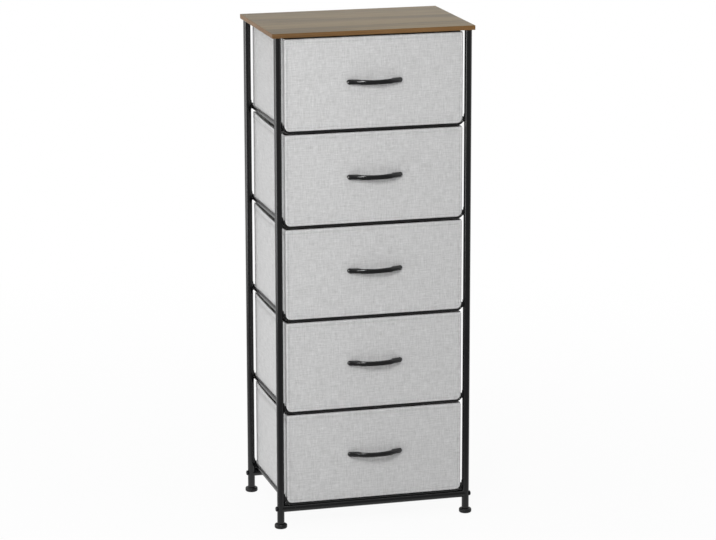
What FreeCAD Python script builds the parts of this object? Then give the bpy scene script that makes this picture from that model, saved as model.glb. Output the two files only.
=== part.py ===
"""Fabric drawer dresser: a black tube frame, a wood-grain top board and five fabric drawers.

Millimetres, +Z up, the drawers open towards -Y.  The origin is on the floor, under the middle
of the whole object.  Tiers are counted from the top: tier 1 holds the highest drawer.  What
belongs to a tier is drawn from the tier line, the lower edge of that tier's drawer front.
"""
import FreeCAD, Part
import math
import os
import Sketcher

V = FreeCAD.Vector
UP = V(0, 0, 1)
RIGHT = V(1, 0, 0)
BACK = V(0, 1, 0)
TIERS = 5

# corner name: side (-1 left, 1 right) and depth (-1 front, 1 back)
CORNERS = {
    "front_left": (-1, -1),
    "front_right": (1, -1),
    "back_left": (-1, 1),
    "back_right": (1, 1),
}
SIDES = {"left": -1, "right": 1}
FACES = {"front": -1, "back": 1}

# Driving sizes, in mm
SIZES = {
    # top board
    "board_width": 450,
    "board_depth": 300,
    "board_thickness": 10,
    "board_edge_round": 0.8,
    # posts: steel tube, set in from the board's edges
    "post_diameter": 16,
    "post_wall": 1,
    "post_inset_side": 13,
    "post_inset_front": 10,
    # screw feet under the posts
    "foot_diameter": 28,
    "foot_thickness": 10,
    "foot_rim_bevel": 3,
    "foot_collar_diameter": 17.5,
    "foot_collar_thickness": 1,
    "foot_stem_diameter": 6,
    "foot_stem_length": 18,
    # threaded plugs pressed into both ends of a post
    "plug_length": 16,
    "plug_play": 0.1,
    # studs that hold the board on the posts, and the board's threaded sleeves
    "stud_diameter": 6,
    "stud_reach": 6,
    "sleeve_diameter": 9,
    "sleeve_length": 7,
    # cross rails at the foot of the frame
    "rail_diameter": 16,
    "rail_wall": 1,
    "rail_height": 43.7,
    "rail_end_play": 0.15,
    "rail_nut_length": 20,
    # bolts that pull the rails against the posts
    "bolt_diameter": 6,
    "bolt_length": 30,
    "bolt_head_diameter": 11,
    "bolt_head_height": 3.4,
    "bolt_head_bevel": 1.2,
    "bolt_socket": 4,
    "bolt_socket_depth": 2,
    "bolt_play": 0.3,
    # runners that the drawers slide on, and the bent rods across the frame
    "runner_diameter": 8,
    "runner_rise": 5,
    "rod_diameter": 5,
    "rod_forward": 3.5,
    "rod_post_gap": 0.75,
    "rod_stub": 2,
    # spacing of the tiers
    "tier_pitch": 207.2,
    "head_gap": 3,
    "board_gap": 3.7,
    # drawer fronts: a fabric sleeve over a hardboard panel
    "front_thickness": 6,
    "front_corner_low": 12,
    "front_corner_high": 3,
    "front_skin": 1.3,
    "front_hem": 2,
    "panel_thickness": 3,
    "panel_play": 0.3,
    # fabric bins behind the fronts
    "bin_inset": 0.5,
    "bin_back_inset": 4,
    "bin_wall": 3,
    "bin_floor": 2,
    "bin_side_dip": 4.8,
    "bin_back_rise": 1.7,
    "bin_back_corner": 4,
    "bin_bottom_round": 2,
    "base_thickness": 3,
    "base_play": 1,
    "base_corner": 4,
    # bow handles and their screws
    "handle_length": 124,
    "handle_height": 12.4,
    "handle_waist": 0.9,
    "handle_depth": 26,
    "handle_end_depth": 4,
    "handle_thickness": 7.6,
    "handle_pad": 22,
    "handle_rise": 102.5,
    "handle_tip_round": 5.5,
    "handle_edge_bevel": 1.4,
    "screw_spacing": 102,
    "screw_diameter": 4,
    "screw_grip": 8,
    "screw_tip_room": 1,
    "screw_head_diameter": 8,
    "screw_head_height": 2.4,
    "screw_head_bevel": 0.8,
    # clearances
    "slide_gap": 0.3,
    "seat_gap": 0.2,
    "thread_play": 0.1,
}

# Sizes and places that follow from the driving sizes, as formulas of the second sheet
LAYOUT = {
    "no_size": "0",
    "board_x": "Sizes.board_width / 2",
    "board_y": "Sizes.board_depth / 2",
    "post_r": "Sizes.post_diameter / 2",
    "post_bore_r": "post_r - Sizes.post_wall",
    "post_x": "board_x - Sizes.post_inset_side",
    "post_y": "board_y - Sizes.post_inset_front",
    "post_bottom": "Sizes.foot_thickness + Sizes.foot_collar_thickness",
    "foot_r": "Sizes.foot_diameter / 2",
    "foot_flat_r": "foot_r - Sizes.foot_rim_bevel",
    "foot_rim_z": "Sizes.foot_thickness - Sizes.foot_rim_bevel",
    "collar_r": "Sizes.foot_collar_diameter / 2",
    "stem_r": "Sizes.foot_stem_diameter / 2",
    "stem_top": "post_bottom + Sizes.foot_stem_length",
    "stem_bore_r": "stem_r + Sizes.thread_play",
    "plug_r": "post_bore_r - Sizes.plug_play",
    "rail_r": "Sizes.rail_diameter / 2",
    "rail_bore_r": "rail_r - Sizes.rail_wall",
    "rail_cope_r": "post_r + Sizes.rail_end_play",
    "nut_r": "rail_bore_r - Sizes.plug_play",
    "nut_x": "post_x - rail_cope_r",
    "bolt_r": "Sizes.bolt_diameter / 2",
    "bolt_hole_r": "bolt_r + Sizes.bolt_play",
    "bolt_thread_r": "bolt_r + Sizes.thread_play",
    "bolt_reach": "Sizes.bolt_length",
    "bolt_head_r": "Sizes.bolt_head_diameter / 2",
    "bolt_head_flat": "Sizes.bolt_head_height - Sizes.bolt_head_bevel",
    "bolt_crown_r": "bolt_head_r - Sizes.bolt_head_bevel",
    "bolt_seat_x": "post_x + post_r",
    "runner_r": "Sizes.runner_diameter / 2",
    "runner_x": "post_x - post_r - runner_r",
    "rod_r": "Sizes.rod_diameter / 2",
    "rod_y": "post_y + Sizes.rod_forward",
    "rod_post_r": "post_r + rod_r + Sizes.rod_post_gap",
    "rod_x": "post_x - sqrt(rod_post_r ^ 2 - Sizes.rod_forward ^ 2)",
    "rod_drop": "rod_r + Sizes.slide_gap",
    "rod_bend_r": "Sizes.front_corner_low + Sizes.slide_gap + rod_r",
    "rod_bend_x": "rod_x - rod_bend_r",
    "rod_bend_z": "rod_bend_r - rod_drop",
    "rod_top": "rod_bend_z + Sizes.rod_stub",
    "runner_y": "rod_y - rod_r",
    "rod_rail_r": "rail_r + rod_r + Sizes.seat_gap",
    "rod_rail_rise": "sqrt(rod_rail_r ^ 2 - Sizes.rod_forward ^ 2)",
    "tier_first": "Sizes.rail_height + rod_rail_rise + rod_drop",
    "front_height": "Sizes.tier_pitch - Sizes.rod_diameter - Sizes.slide_gap - Sizes.head_gap",
    "tier_last": f"tier_first + {TIERS - 1} * Sizes.tier_pitch",
    "board_bottom": "tier_last + front_height + Sizes.board_gap",
    "stud_r": "Sizes.stud_diameter / 2",
    "stud_bore_r": "stud_r + Sizes.thread_play",
    "sleeve_r": "Sizes.sleeve_diameter / 2",
    "sleeve_hole_r": "sleeve_r + Sizes.thread_play",
    "front_x": "rod_x - rod_r - Sizes.slide_gap",
    "front_back": "runner_y + Sizes.slide_gap",
    "front_face": "front_back + Sizes.front_thickness",
    "front_low_x": "front_x - Sizes.front_corner_low",
    "front_high_x": "front_x - Sizes.front_corner_high",
    "front_high_z": "front_height - Sizes.front_corner_high",
    "slot_x": "front_x - Sizes.front_hem",
    "slot_corner": "Sizes.front_corner_low - Sizes.front_hem",
    "slot_top": "front_height - Sizes.front_hem",
    "slot_width": "Sizes.panel_thickness + 2 * Sizes.panel_play",
    "slot_mid": "front_face - Sizes.front_skin - slot_width / 2",
    "panel_x": "slot_x - Sizes.panel_play",
    "panel_low": "Sizes.front_hem + Sizes.panel_play",
    "panel_top": "slot_top - Sizes.panel_play",
    "panel_corner": "slot_corner - Sizes.panel_play",
    "panel_back": "slot_mid - Sizes.panel_thickness / 2",
    "bin_x": "front_x - Sizes.bin_inset",
    "bin_y": "board_y - Sizes.bin_back_inset",
    "bin_inner_x": "bin_x - Sizes.bin_wall",
    "bin_inner_y": "bin_y - Sizes.bin_wall",
    "bin_rest_r": "runner_r + Sizes.slide_gap + Sizes.bin_bottom_round",
    "bin_rest_x": "runner_x - bin_x + Sizes.bin_bottom_round",
    "bin_rest_z": "sqrt(bin_rest_r ^ 2 - bin_rest_x ^ 2)",
    "bin_bottom": "Sizes.runner_rise + bin_rest_z - Sizes.bin_bottom_round",
    "bin_floor_top": "bin_bottom + Sizes.bin_floor",
    "bin_back_top": "front_height + Sizes.bin_back_rise",
    "rim_chord": "sqrt((bin_y + front_back) ^ 2 + Sizes.bin_back_rise ^ 2)",
    "rim_r": "(rim_chord ^ 2 / 4 + Sizes.bin_side_dip ^ 2) / (2 * Sizes.bin_side_dip)",
    "base_x": "bin_inner_x - Sizes.base_play",
    "base_front": "front_back - Sizes.base_play",
    "base_back": "bin_inner_y - Sizes.base_play",
    "base_z": "bin_floor_top + Sizes.seat_gap",
    "screw_x": "Sizes.screw_spacing / 2",
    "screw_r": "Sizes.screw_diameter / 2",
    "screw_hole_r": "screw_r + Sizes.panel_play",
    "screw_thread_r": "screw_r + Sizes.thread_play",
    "screw_head_r": "Sizes.screw_head_diameter / 2",
    "screw_head_flat": "Sizes.screw_head_height - Sizes.screw_head_bevel",
    "screw_crown_r": "screw_head_r - Sizes.screw_head_bevel",
    "screw_reach": "Sizes.front_thickness + Sizes.seat_gap + Sizes.screw_grip",
    "screw_bore": "Sizes.screw_grip + Sizes.screw_tip_room",
    "handle_x": "Sizes.handle_length / 2",
    "handle_pad_x": "handle_x - Sizes.handle_pad",
    "handle_z": "Sizes.handle_height / 2",
    "handle_trim_z": "handle_z + Sizes.handle_waist",
    "handle_waist_r": "(handle_pad_x ^ 2 + Sizes.handle_waist ^ 2) / (2 * Sizes.handle_waist)",
    "handle_bow": "Sizes.handle_depth - Sizes.handle_end_depth",
    "handle_outer_r": "(handle_x ^ 2 + handle_bow ^ 2) / (2 * handle_bow)",
    "handle_inner_r": "handle_outer_r - Sizes.handle_thickness",
    "handle_rise_in": "sqrt(handle_inner_r ^ 2 - handle_pad_x ^ 2)",
    "handle_inner_y": "Sizes.handle_depth - handle_outer_r + handle_rise_in",
    "handle_seat": "front_face + Sizes.seat_gap",
    "front_reach": "handle_seat + Sizes.handle_depth",
    "back_reach": "max(board_y; post_y + foot_r)",
    "frame_mid": "(front_reach - back_reach) / 2",
}

doc = FreeCAD.newDocument("FabricDrawerDresser")


# ---------------------------------------------------------------- sheets and small helpers
def fill_sheet(name, cells):
    """Write each name and its value or formula into one row of a new sheet."""
    sheet = doc.addObject("Spreadsheet::Sheet", name)
    for row, (alias, content) in enumerate(cells.items(), start=1):
        sheet.set(f"A{row}", alias)
        sheet.set(f"B{row}", str(content))
        sheet.setAlias(f"B{row}", alias)
    doc.recompute()
    return sheet


sizes = fill_sheet("Sizes", SIZES)
layout = fill_sheet("Layout", {alias: "=" + formula for alias, formula in LAYOUT.items()})
nodes = []


def amount(name):
    """The number behind a named size; a leading minus sign turns it negative."""
    word = name.lstrip("-")
    sheet = sizes if word in SIZES else layout
    number = float(sheet.get(word))
    return -number if name.startswith("-") else number


def bound(name):
    """The expression that ties a property to a named size."""
    word = name.lstrip("-")
    sheet = "Sizes" if word in SIZES else "Layout"
    sign = "-" if name.startswith("-") else ""
    return f"{sign}{sheet}.{word}"


def tie(piece, **names):
    """Bind properties of a piece to named sizes."""
    for prop, name in names.items():
        piece.setExpression(prop, bound(name))


def place(piece, x=None, y=None, z=None):
    """Bind the place of a piece to expressions of the sheets."""
    for axis, formula in (("x", x), ("y", y), ("z", z)):
        if formula:
            piece.setExpression(f"Placement.Base.{axis}", formula)


def node(piece, label):
    """Name a finished sub-part and keep it for the checks and the export."""
    piece.Label = label
    nodes.append(piece)
    return piece


def tier_line(tier):
    """The height of a tier line above the floor, as an expression."""
    return f"Layout.tier_first + {TIERS - tier} * Sizes.tier_pitch"


# ---------------------------------------------------------------- primitives and booleans
def cylinder(name, radius, height, axis=UP):
    """A cylinder from the origin along an axis."""
    piece = doc.addObject("Part::Cylinder", name)
    piece.Placement = FreeCAD.Placement(V(), FreeCAD.Rotation(UP, axis))
    tie(piece, Radius=radius, Height=height)
    return piece


def cut(name, base, tool):
    piece = doc.addObject("Part::Cut", name)
    piece.Base = base
    piece.Tool = tool
    return piece


def fuse(name, shapes):
    piece = doc.addObject("Part::MultiFuse", name)
    piece.Shapes = shapes
    return piece


def group(name, links):
    """Separate solids that share one node."""
    piece = doc.addObject("Part::Compound", name)
    piece.Links = links
    place(piece, y="Layout.frame_mid")
    return node(piece, name)


# ---------------------------------------------------------------- sketches and bodies
def new_body(name):
    return doc.addObject("PartDesign::Body", name)


def new_sketch(body, name, plane, offset=None):
    """A sketch on one of the body's own origin planes, moved along that plane's normal."""
    sketch = body.newObject("Sketcher::SketchObject", f"{body.Name}_{name}")
    role = f"{plane}_Plane"
    support = next(item for item in body.Origin.OriginFeatures if item.Role == role)
    sketch.AttachmentSupport = [(support, "")]
    sketch.MapMode = "FlatFace"
    if offset:
        sketch.setExpression("AttachmentOffset.Base.z", bound(offset))
    return sketch


def constrain(sketch, kind, *elements, size=None):
    """Add a constraint; a named size binds it to the sheets."""
    if size is None:
        return sketch.addConstraint(Sketcher.Constraint(kind, *elements))
    index = sketch.addConstraint(Sketcher.Constraint(kind, *elements, amount(size)))
    sketch.setExpression(f"Constraints[{index}]", bound(size))
    return index


def pin_point(sketch, geometry, point, x, y):
    """Hold a sketch point at named distances from the origin."""
    constrain(sketch, "DistanceX", -1, 1, geometry, point, size=x)
    constrain(sketch, "DistanceY", -1, 1, geometry, point, size=y)


def arc_through(start, end, radius, turn):
    """An arc between two points; turn is 1 anticlockwise and -1 clockwise."""
    chord = end - start
    rise = math.sqrt(max(radius ** 2 - (chord.Length / 2) ** 2, 0))
    across = V(-chord.y, chord.x, 0).normalize() * rise * turn
    centre = (start + end) / 2 + across
    first, last = (start, end) if turn > 0 else (end, start)
    angles = [math.atan2(point.y - centre.y, point.x - centre.x) for point in (first, last)]
    return Part.ArcOfCircle(Part.Circle(centre, UP, radius), *angles)


def outline(sketch, corners):
    """A closed outline.

    Each corner is (x, y) with named sizes, or (x, y, radius, turn) where the side that
    leaves it is an arc.
    """
    points = [V(amount(corner[0]), amount(corner[1]), 0) for corner in corners]
    ends = []
    for corner, start, end in zip(corners, points, points[1:] + points[:1]):
        if len(corner) == 2:
            side = sketch.addGeometry(Part.LineSegment(start, end))
            ends.append((side, 1, 2))
            continue
        radius, turn = corner[2:]
        side = sketch.addGeometry(arc_through(start, end, amount(radius), turn))
        ends.append((side, 1, 2) if turn > 0 else (side, 2, 1))
    for number, corner in enumerate(corners):
        side, first, _ = ends[number]
        previous = ends[number - 1]
        constrain(sketch, "Coincident", previous[0], previous[2], side, first)
        pin_point(sketch, side, first, corner[0], corner[1])
        if len(corner) == 4:
            constrain(sketch, "Radius", side, size=corner[2])


def box_outline(sketch, x, low, high):
    """A rectangle from -x to x and from low to high."""
    outline(sketch, [(f"-{x}", low), (x, low), (x, high), (f"-{x}", high)])


def circle(sketch, radius, x, y):
    """A circle at named distances from the origin."""
    centre = V(amount(x), amount(y), 0)
    ring = sketch.addGeometry(Part.Circle(centre, UP, amount(radius)))
    pin_point(sketch, ring, 3, x, y)
    constrain(sketch, "Radius", ring, size=radius)


def feature(body, kind, name, sketch, length, reverse=False, both_ways=False):
    """A pad or pocket of a sketch, with its length bound to an expression."""
    piece = body.newObject(f"PartDesign::{kind}", f"{body.Name}_{name}")
    piece.Profile = sketch
    piece.Reversed = reverse
    if both_ways:
        piece.SideType = "Symmetric"
    piece.setExpression("Length", length)
    before = body.Shape.Volume if kind == "Pocket" else 0
    doc.recompute()
    if kind == "Pocket" and not piece.Shape.Volume < before:
        raise RuntimeError(f"{piece.Name} cuts nothing")
    return piece


def dress(body, kind, name, chosen, **size):
    """A fillet or chamfer on the edges of the body that a test picks."""
    base = body.Tip
    picked = [f"Edge{number}" for number, edge in enumerate(base.Shape.Edges, start=1)
              if chosen(edge)]
    piece = body.newObject(f"PartDesign::{kind}", f"{body.Name}_{name}")
    piece.Base = (base, picked)
    tie(piece, **size)
    doc.recompute()
    return piece


def fillet(body, name, radius, chosen):
    return dress(body, "Fillet", name, chosen, Radius=radius)


def chamfer(body, name, size, chosen):
    return dress(body, "Chamfer", name, chosen, Size=size)


def near(number, target):
    return abs(number - target) < 0.01


def runs_along(edge, axis):
    """True where a straight edge lies along an axis."""
    if not isinstance(edge.Curve, Part.Line):
        return False
    return abs(edge.Curve.Direction.dot(axis)) > 0.999


# ---------------------------------------------------------------- top board
def make_top_board():
    """A solid board with blind holes underneath for four threaded sleeves."""
    body = new_body("top_board")
    slab = new_sketch(body, "slab", "XY")
    box_outline(slab, "board_x", "-board_y", "board_y")
    feature(body, "Pad", "thickness", slab, "Sizes.board_thickness")
    fillet(body, "edges", "board_edge_round", lambda edge: True)
    holes = new_sketch(body, "sleeve_holes", "XY")
    for side, depth in CORNERS.values():
        circle(holes, "sleeve_hole_r", signed(side, "post_x"), signed(depth, "post_y"))
    feature(body, "Pocket", "holes", holes, "Sizes.sleeve_length", reverse=True)
    place(body, y="Layout.frame_mid", z="Layout.board_bottom")
    node(body, "top_board")


def signed(sign, name):
    return name if sign > 0 else f"-{name}"


# ---------------------------------------------------------------- posts, feet and fasteners
def make_post(corner, side, depth):
    """A tube with a bolt hole through both walls, along X, at rail height."""
    name = f"post_{corner}"
    tube = cylinder(f"{name}_tube", "post_r", "post_r")
    tube.setExpression("Height", "Layout.board_bottom - Layout.post_bottom")
    bore = cylinder(f"{name}_bore", "post_bore_r", "board_bottom")
    hole = cylinder(f"{name}_hole", "bolt_hole_r", "post_diameter", RIGHT)
    place(hole, x="-Layout.post_r", z="Sizes.rail_height - Layout.post_bottom")
    post = cut(name, tube, fuse(f"{name}_cuts", [bore, hole]))
    place(post, corner_x(side), corner_y(depth) + " + Layout.frame_mid", "Layout.post_bottom")
    node(post, name)


def corner_x(side):
    return f"{side} * Layout.post_x"


def corner_y(depth):
    return f"{depth} * Layout.post_y"


def make_foot(corner, side, depth):
    """A turned foot: a disc with a bevelled rim, a collar under the post and a stem."""
    body = new_body(f"foot_{corner}")
    profile = new_sketch(body, "profile", "XZ")
    outline(profile, [
        ("no_size", "no_size"),
        ("foot_flat_r", "no_size"),
        ("foot_r", "foot_rim_bevel"),
        ("foot_r", "foot_rim_z"),
        ("foot_flat_r", "foot_thickness"),
        ("collar_r", "foot_thickness"),
        ("collar_r", "post_bottom"),
        ("stem_r", "post_bottom"),
        ("stem_r", "stem_top"),
        ("no_size", "stem_top"),
    ])
    turned = body.newObject("PartDesign::Revolution", f"{body.Name}_turned")
    turned.Profile = profile
    turned.ReferenceAxis = (profile, ["V_Axis"])
    place(body, corner_x(side), corner_y(depth) + " + Layout.frame_mid")
    node(body, f"foot_{corner}")


def ring(name, outer, bore, length, axis=UP):
    """A round plug or sleeve with a hole through it."""
    solid = cylinder(f"{name}_solid", outer, length, axis)
    hole = cylinder(f"{name}_thread", bore, length, axis)
    return cut(name, solid, hole)


def make_post_fasteners():
    """Plugs for the feet, studs for the board, and the board's sleeves."""
    plugs = []
    studs = []
    sleeves = []
    for corner, (side, depth) in CORNERS.items():
        plug = ring(f"plug_{corner}", "plug_r", "stem_bore_r", "plug_length")
        place(plug, corner_x(side), corner_y(depth), "Layout.post_bottom")
        plugs.append(plug)
        head = cylinder(f"stud_{corner}_plug", "plug_r", "plug_length")
        thread = cylinder(f"stud_{corner}_thread", "stud_r", "stud_reach")
        place(thread, z="Sizes.plug_length")
        stud = fuse(f"stud_{corner}", [head, thread])
        top = "Layout.board_bottom - Sizes.plug_length"
        place(stud, corner_x(side), corner_y(depth), top)
        studs.append(stud)
        sleeve = ring(f"sleeve_{corner}", "sleeve_r", "stud_bore_r", "sleeve_length")
        place(sleeve, corner_x(side), corner_y(depth), "Layout.board_bottom")
        sleeves.append(sleeve)
    group("post_bottom_plugs", plugs)
    group("post_top_studs", studs)
    group("board_threaded_sleeves", sleeves)


# ---------------------------------------------------------------- foot rails and their bolts
def make_bottom_rail(face, depth):
    """A tube across the frame, its ends coped to sit against the round posts."""
    name = f"bottom_rail_{face}"
    tube = cylinder(f"{name}_tube", "rail_r", "post_x", RIGHT)
    tube.setExpression("Height", "2 * Layout.post_x")
    place(tube, x="-Layout.post_x")
    bore = cylinder(f"{name}_bore", "rail_bore_r", "post_x", RIGHT)
    bore.setExpression("Height", "2 * Layout.post_x")
    place(bore, x="-Layout.post_x")
    cuts = [bore]
    for end, side in SIDES.items():
        cope = cylinder(f"{name}_cope_{end}", "rail_cope_r", "rail_diameter")
        cope.setExpression("Height", "2 * Sizes.rail_diameter")
        place(cope, x=corner_x(side), z="-Sizes.rail_diameter")
        cuts.append(cope)
    rail = cut(name, tube, fuse(f"{name}_cuts", cuts))
    place(rail, y=corner_y(depth) + " + Layout.frame_mid", z="Sizes.rail_height")
    node(rail, name)


def make_rail_fasteners():
    """Nuts pressed into the rails and socket-head bolts through the posts."""
    nuts = []
    bolts = []
    for corner, (side, depth) in CORNERS.items():
        inward = RIGHT * -side
        nut = ring(f"rail_nut_{corner}", "nut_r", "bolt_thread_r", "rail_nut_length", inward)
        place(nut, f"{side} * Layout.nut_x", corner_y(depth), "Sizes.rail_height")
        nuts.append(nut)
        bolts.append(make_bolt(corner, side, depth))
    group("rail_end_nuts", nuts)
    group("rail_bolts", bolts)


def headed_pin(name, kind):
    """A shank below the origin and a bevelled round head above; kind is bolt or screw."""
    shank = cylinder(f"{name}_shank", f"{kind}_r", f"{kind}_reach")
    place(shank, z=f"-Layout.{kind}_reach")
    head = cylinder(f"{name}_head", f"{kind}_head_r", f"{kind}_head_flat")
    crown = doc.addObject("Part::Cone", f"{name}_crown")
    tie(crown, Radius1=f"{kind}_head_r", Radius2=f"{kind}_crown_r", Height=f"{kind}_head_bevel")
    place(crown, z=f"Layout.{kind}_head_flat")
    return fuse(f"{name}_blank", [shank, head, crown])


def make_bolt(corner, side, depth):
    """A bolt with a bevelled head and a hexagon socket, along X."""
    name = f"rail_bolt_{corner}"
    blank = headed_pin(name, "bolt")
    socket = doc.addObject("Part::Prism", f"{name}_socket")
    socket.Polygon = 6
    tie(socket, Height="bolt_socket_depth")
    socket.setExpression("Circumradius", "Sizes.bolt_socket / sqrt(3)")
    place(socket, z="Sizes.bolt_head_height - Sizes.bolt_socket_depth")
    bolt = cut(name, blank, socket)
    bolt.Placement = FreeCAD.Placement(V(), FreeCAD.Rotation(UP, RIGHT * side))
    place(bolt, f"{side} * Layout.bolt_seat_x", corner_y(depth), "Sizes.rail_height")
    return bolt


# ---------------------------------------------------------------- runners and bent rods
def make_runner(tier, end, side):
    """A straight round bar from front to back, welded to the inner sides of two posts."""
    name = f"runner_{tier}_{end}"
    bar = cylinder(name, "runner_r", "runner_y", BACK)
    bar.setExpression("Height", "2 * Layout.runner_y")
    level = tier_line(tier) + " + Sizes.runner_rise"
    place(bar, f"{side} * Layout.runner_x", "Layout.frame_mid - Layout.runner_y", level)
    node(bar, name)


def make_rod(tier, face, depth):
    """A cross rod whose ends bend up round the lower corners of a drawer front."""
    name = f"rod_{tier}_{face}"
    body = new_body(name)
    path = new_sketch(body, "path", "XZ", signed(-depth, "rod_y"))
    points = [
        ("-rod_x", "rod_top"),
        ("-rod_x", "rod_bend_z", "rod_bend_r", 1),
        ("-rod_bend_x", "-rod_drop"),
        ("rod_bend_x", "-rod_drop", "rod_bend_r", 1),
        ("rod_x", "rod_bend_z"),
        ("rod_x", "rod_top"),
    ]
    open_path(path, points)
    section = new_sketch(body, "section", "XY", "rod_top")
    circle(section, "rod_r", "-rod_x", signed(depth, "rod_y"))
    pipe = body.newObject("PartDesign::AdditivePipe", f"{name}_pipe")
    pipe.Profile = section
    pipe.Spine = (path, [])
    place(body, z=tier_line(tier))
    return body


def make_rods(tier):
    """A rod in front and one at the back; the lowest pair is welded on top of the rails."""
    rods = {face: make_rod(tier, face, depth) for face, depth in FACES.items()}
    if tier == TIERS:
        group("bottom_rods", list(rods.values()))
        return
    for face, rod in rods.items():
        place(rod, y="Layout.frame_mid")
        node(rod, f"rod_{tier}_{face}")


def open_path(sketch, corners):
    """Lines and arcs end to end; corners are written as in outline()."""
    points = [V(amount(corner[0]), amount(corner[1]), 0) for corner in corners]
    last_side = None
    for corner, start, end in zip(corners, points, points[1:]):
        if len(corner) == 2:
            side = sketch.addGeometry(Part.LineSegment(start, end))
        else:
            side = sketch.addGeometry(arc_through(start, end, amount(corner[2]), corner[3]))
            constrain(sketch, "Radius", side, size=corner[2])
        pin_point(sketch, side, 1, corner[0], corner[1])
        if last_side is not None:
            constrain(sketch, "Coincident", last_side, 2, side, 1)
        last_side = side
    pin_point(sketch, last_side, 2, corners[-1][0], corners[-1][1])


# ---------------------------------------------------------------- drawers
def make_bin(tier):
    """A fabric bin: a deep open tub behind a flat sleeve that holds the front panel."""
    body = new_body(f"drawer_{tier}_bin")
    side = new_sketch(body, "side", "YZ")
    outline(side, [
        ("-front_back", "bin_bottom"),
        ("bin_y", "bin_bottom"),
        ("bin_y", "bin_back_top", "rim_r", -1),
        ("-front_back", "front_height"),
    ])
    feature(body, "Pad", "tub", side, "2 * Layout.bin_x", both_ways=True)
    fillet(body, "back_corners", "bin_back_corner", lambda edge: (
        runs_along(edge, UP) and near(edge.CenterOfMass.y, amount("bin_y"))))
    fillet(body, "bottom_edges", "bin_bottom_round", lambda edge: (
        near(edge.BoundBox.ZMax, amount("bin_bottom"))
        and not near(edge.BoundBox.YMax, -amount("front_back"))))

    face = new_sketch(body, "face", "XZ", "front_back")
    outline(face, [
        ("-front_low_x", "no_size"),
        ("front_low_x", "no_size", "front_corner_low", 1),
        ("front_x", "front_corner_low"),
        ("front_x", "front_high_z", "front_corner_high", 1),
        ("front_high_x", "front_height"),
        ("-front_high_x", "front_height", "front_corner_high", 1),
        ("-front_x", "front_high_z"),
        ("-front_x", "front_corner_low", "front_corner_low", 1),
    ])
    feature(body, "Pad", "sleeve", face, "Sizes.front_thickness")

    inside = new_sketch(body, "inside", "XY", "bin_floor_top")
    box_outline(inside, "bin_inner_x", "-front_back", "bin_inner_y")
    feature(body, "Pocket", "room", inside, "Layout.bin_back_top", reverse=True)

    slot = new_sketch(body, "slot", "XZ", "slot_mid")
    outline(slot, [
        ("-front_low_x", "-front_hem"),
        ("front_low_x", "-front_hem"),
        ("front_low_x", "front_hem", "slot_corner", 1),
        ("slot_x", "front_corner_low"),
        ("slot_x", "slot_top"),
        ("-slot_x", "slot_top"),
        ("-slot_x", "front_corner_low", "slot_corner", 1),
        ("-front_low_x", "front_hem"),
    ])
    feature(body, "Pocket", "panel_room", slot, "Layout.slot_width", both_ways=True)
    pierce(body, "front_face", "screw_hole_r", "handle_rise", "Sizes.front_thickness")
    place(body, y="Layout.frame_mid", z=tier_line(tier))
    node(body, f"drawer_{tier}_bin")


def pierce(body, plane, radius, height, depth, reverse=False):
    """Two screw holes along Y."""
    holes = new_sketch(body, "screw_holes", "XZ", plane)
    for side in SIDES.values():
        circle(holes, radius, signed(side, "screw_x"), height)
    feature(body, "Pocket", "bores", holes, depth, reverse=reverse)


def make_front_panel(tier):
    """The hardboard panel that stiffens the drawer front."""
    body = new_body(f"drawer_{tier}_front_board")
    face = new_sketch(body, "face", "XZ", "panel_back")
    box_outline(face, "panel_x", "panel_low", "panel_top")
    feature(body, "Pad", "sheet", face, "Sizes.panel_thickness")
    fillet(body, "low_corners", "panel_corner", lambda edge: (
        runs_along(edge, BACK) and near(edge.CenterOfMass.z, amount("panel_low"))))
    pierce(body, "front_face", "screw_hole_r", "handle_rise", "Sizes.front_thickness")
    place(body, y="Layout.frame_mid", z=tier_line(tier))
    node(body, f"drawer_{tier}_front_board")


def make_base_board(tier):
    """The loose hardboard sheet on the floor of the bin."""
    body = new_body(f"drawer_{tier}_base_board")
    sheet = new_sketch(body, "sheet", "XY", "base_z")
    box_outline(sheet, "base_x", "-base_front", "base_back")
    feature(body, "Pad", "thickness", sheet, "Sizes.base_thickness")
    fillet(body, "corners", "base_corner", lambda edge: runs_along(edge, UP))
    place(body, y="Layout.frame_mid", z=tier_line(tier))
    node(body, f"drawer_{tier}_base_board")


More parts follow.
